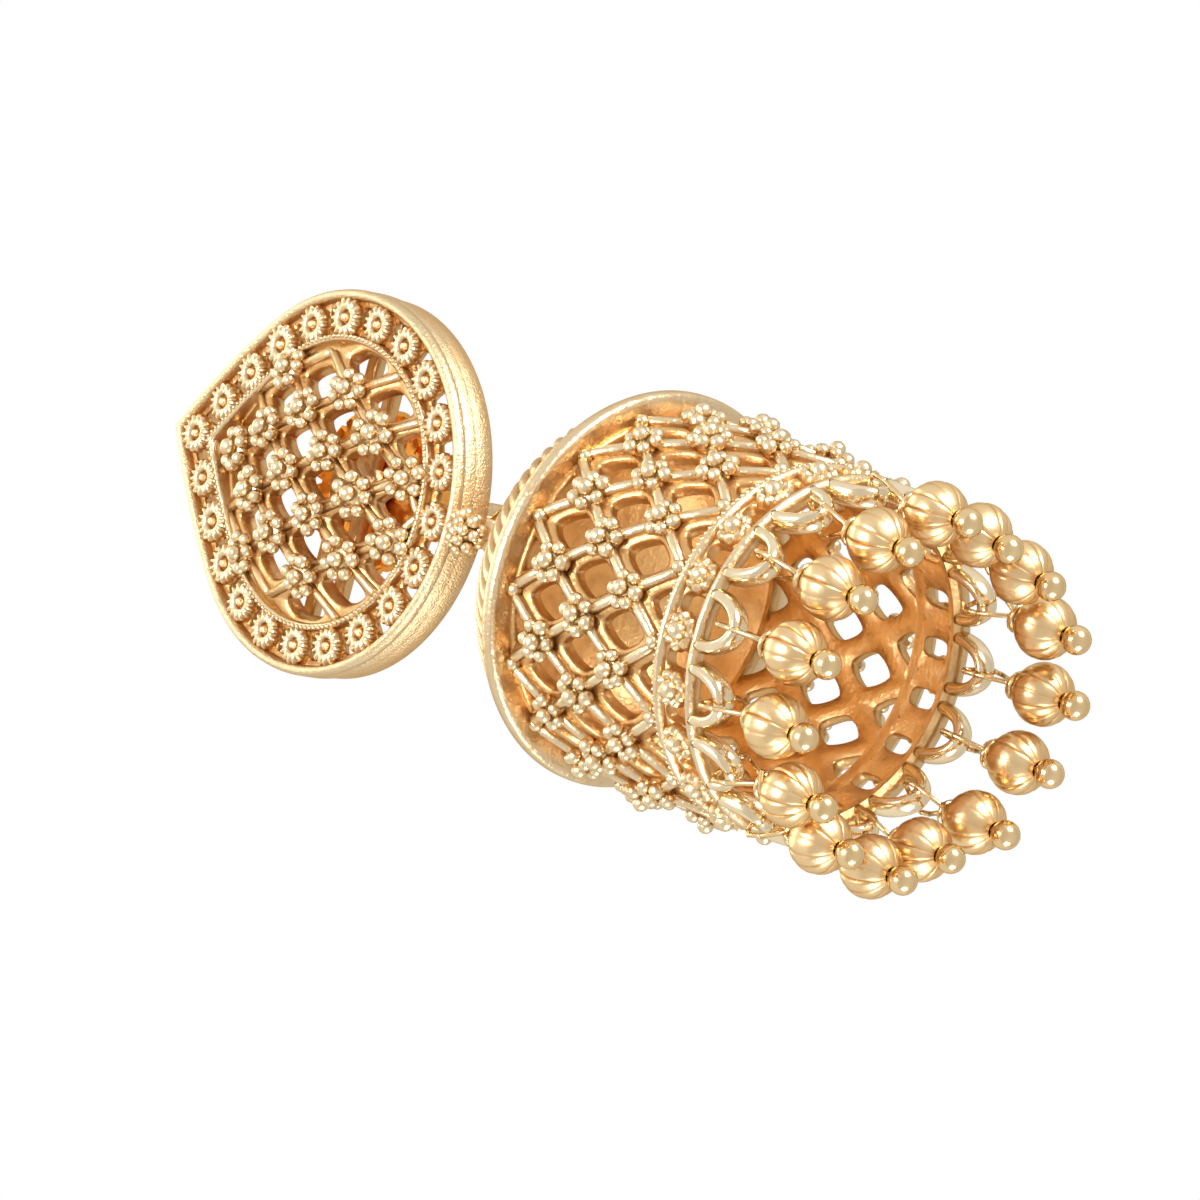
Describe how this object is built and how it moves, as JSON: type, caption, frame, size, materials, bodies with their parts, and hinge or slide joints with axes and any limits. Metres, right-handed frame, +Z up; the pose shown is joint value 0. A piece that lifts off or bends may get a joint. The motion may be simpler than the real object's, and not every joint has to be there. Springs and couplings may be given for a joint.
{
  "type": "jhumka drop earring",
  "caption": "Gilt jhumka drop earring: teardrop openwork stud on a post with clutch, and a fluted openwork bell hung from it on a jump ring, fringed with melon bead drops",
  "frame": {"origin": "on the ear post's axis, in the plane of the stud's open back, where the ear lobe sits", "axes": "+Z up as worn, -Y is the way the stud's face looks, the post and its clutch leave along +Y, +X to the right seen from the front"},
  "size_m": [0.0182, 0.0201, 0.0506],
  "materials": {
    "gold_plate": "satin gold plate on cast brass, orange in the recesses",
    "gold_wire": "gold plated wire",
    "gold_bead": "satin gold plated beads",
    "clutch_gold": "glossy, redder gold plate"
  },
  "bodies": {
    "stud": {"stud": "gold_plate"},
    "link_ring": {"link_ring": "gold_wire"},
    "bell": {"bell": "gold_plate", "drop_pin_01": "gold_wire", "drop_pin_02": "gold_wire", "drop_pin_03": "gold_wire", "drop_pin_04": "gold_wire", "drop_pin_05": "gold_wire", "drop_pin_06": "gold_wire", "drop_pin_07": "gold_wire", "drop_pin_08": "gold_wire", "drop_pin_09": "gold_wire", "drop_pin_10": "gold_wire", "drop_pin_11": "gold_wire", "drop_pin_12": "gold_wire", "drop_pin_13": "gold_wire", "drop_pin_14": "gold_wire", "drop_pin_15": "gold_wire", "drop_bead_01": "gold_bead", "drop_bead_02": "gold_bead", "drop_bead_03": "gold_bead", "drop_bead_04": "gold_bead", "drop_bead_05": "gold_bead", "drop_bead_06": "gold_bead", "drop_bead_07": "gold_bead", "drop_bead_08": "gold_bead", "drop_bead_09": "gold_bead", "drop_bead_10": "gold_bead", "drop_bead_11": "gold_bead", "drop_bead_12": "gold_bead", "drop_bead_13": "gold_bead", "drop_bead_14": "gold_bead", "drop_bead_15": "gold_bead"},
    "clutch": {"clutch": "clutch_gold"}
  },
  "joints": [
    {"name": "bell_swing", "type": "hinge", "parent": "stud", "child": "link_ring", "pos_m": [0, 0.001, -0.0082], "axis": [1, 0, 0], "range_deg": [-18, 45]},
    {"name": "bell_sway", "type": "hinge", "parent": "link_ring", "child": "bell", "pos_m": [0, 0.001, -0.00955], "axis": [0, 1, 0], "range_deg": [-32, 32]},
    {"name": "clutch_slide", "type": "slide", "parent": "stud", "child": "clutch", "axis": [0, 1, 0], "range_m": [0, 0.0125]}
  ]
}
